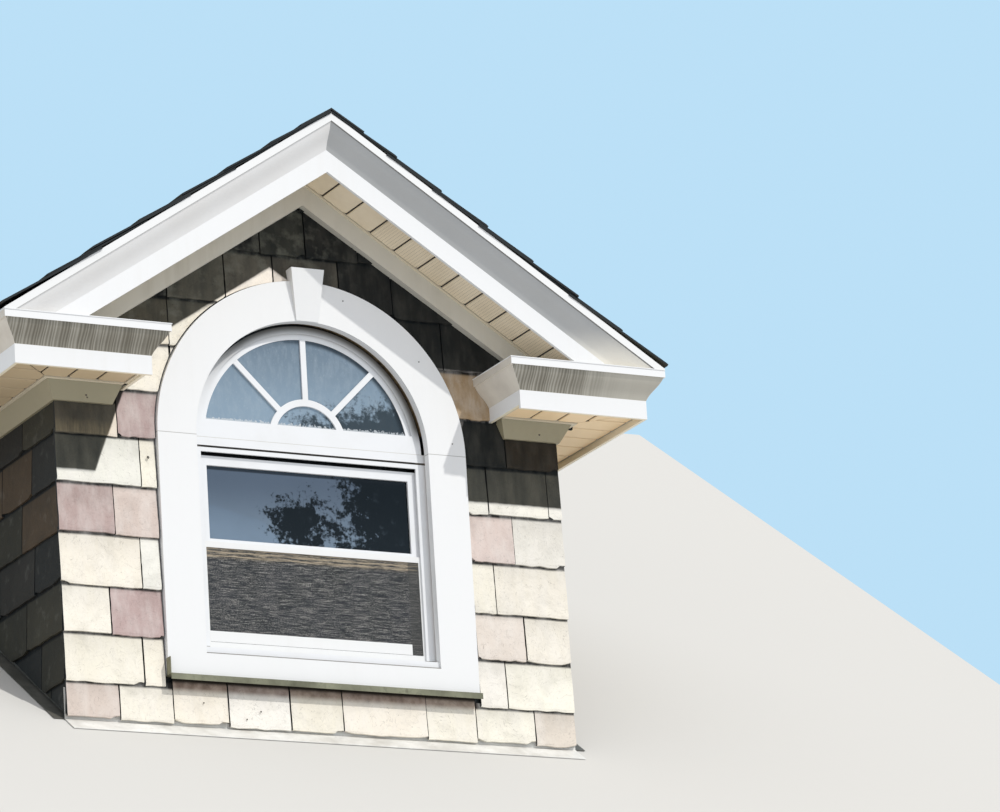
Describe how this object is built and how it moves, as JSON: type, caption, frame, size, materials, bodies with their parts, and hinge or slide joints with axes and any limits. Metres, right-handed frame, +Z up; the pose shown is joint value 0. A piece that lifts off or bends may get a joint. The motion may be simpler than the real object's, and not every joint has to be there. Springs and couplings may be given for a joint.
{
  "type": "dormer window",
  "caption": "Gabled dormer with slated walls, boxed cornice returns, crown mouldings and a keystoned arch-topped window with a radial fanlight over sliding sashes.",
  "frame": {"origin": "on the main roof's surface, under the middle of the front wall's slate face, on the underside of the apron flashing's flange", "axes": "+X to the right seen from the front, +Y back into the main roof, +Z up"},
  "size_m": [2.2144, 3.093, 1.9251],
  "materials": {
    "wall_frame": "sheathed timber framing, bare",
    "timber": "sawn timber, bare",
    "front_slate": "weathered cream and mauve slate, matt",
    "cheek_slate": "dark weathered slate, matt",
    "roof_slate": "dark slate, matt",
    "flashing": "dulled sheet metal",
    "crown_paint": "light grey paint, weathered",
    "fascia_paint": "white paint, satin",
    "soffit_panel": "tan enamel on ribbed sheet panels",
    "frieze_paint": "grey-brown paint, matt",
    "casing_paint": "white paint, satin",
    "drip_metal": "folded sheet, weathered green-brown",
    "window_white": "white, satin",
    "window_glass": "clear float glass",
    "screen_bar": "white enamel on roll-formed metal",
    "screen_cloth": "charcoal woven insect screen"
  },
  "bodies": {
    "root": {"front_wall": "wall_frame", "left_cheek": "wall_frame", "right_cheek": "wall_frame", "ridge_board": "timber", "left_rafters": "timber", "right_rafters": "timber", "left_roof_boards": "timber", "right_roof_boards": "timber", "front_slates": "front_slate", "cheek_slates": "cheek_slate", "left_roof_slates": "roof_slate", "right_roof_slates": "roof_slate", "ridge_cap": "roof_slate", "apron_flashing": "flashing", "side_flashings": "flashing", "return_caps": "flashing", "left_rake_crown": "crown_paint", "right_rake_crown": "crown_paint", "left_eave_crown": "crown_paint", "right_eave_crown": "crown_paint", "left_rake_fascia": "fascia_paint", "right_rake_fascia": "fascia_paint", "left_eave_fascia": "fascia_paint", "right_eave_fascia": "fascia_paint", "left_rake_soffit": "soffit_panel", "right_rake_soffit": "soffit_panel", "eave_soffits": "soffit_panel", "left_rake_frieze": "frieze_paint", "right_rake_frieze": "frieze_paint", "eave_friezes": "frieze_paint", "side_casings": "casing_paint", "arch_casing": "casing_paint", "keystone": "casing_paint", "bottom_casing": "casing_paint", "sill_drip": "drip_metal", "window_frame": "window_white", "upper_sash": "window_white", "lower_sash": "window_white", "fanlight_frame": "window_white", "fanlight_bars": "window_white", "upper_glass": "window_glass", "lower_glass": "window_glass", "fanlight_glass": "window_glass", "screen_frame": "screen_bar", "screen_mesh": "screen_cloth"}
  },
  "joints": []
}
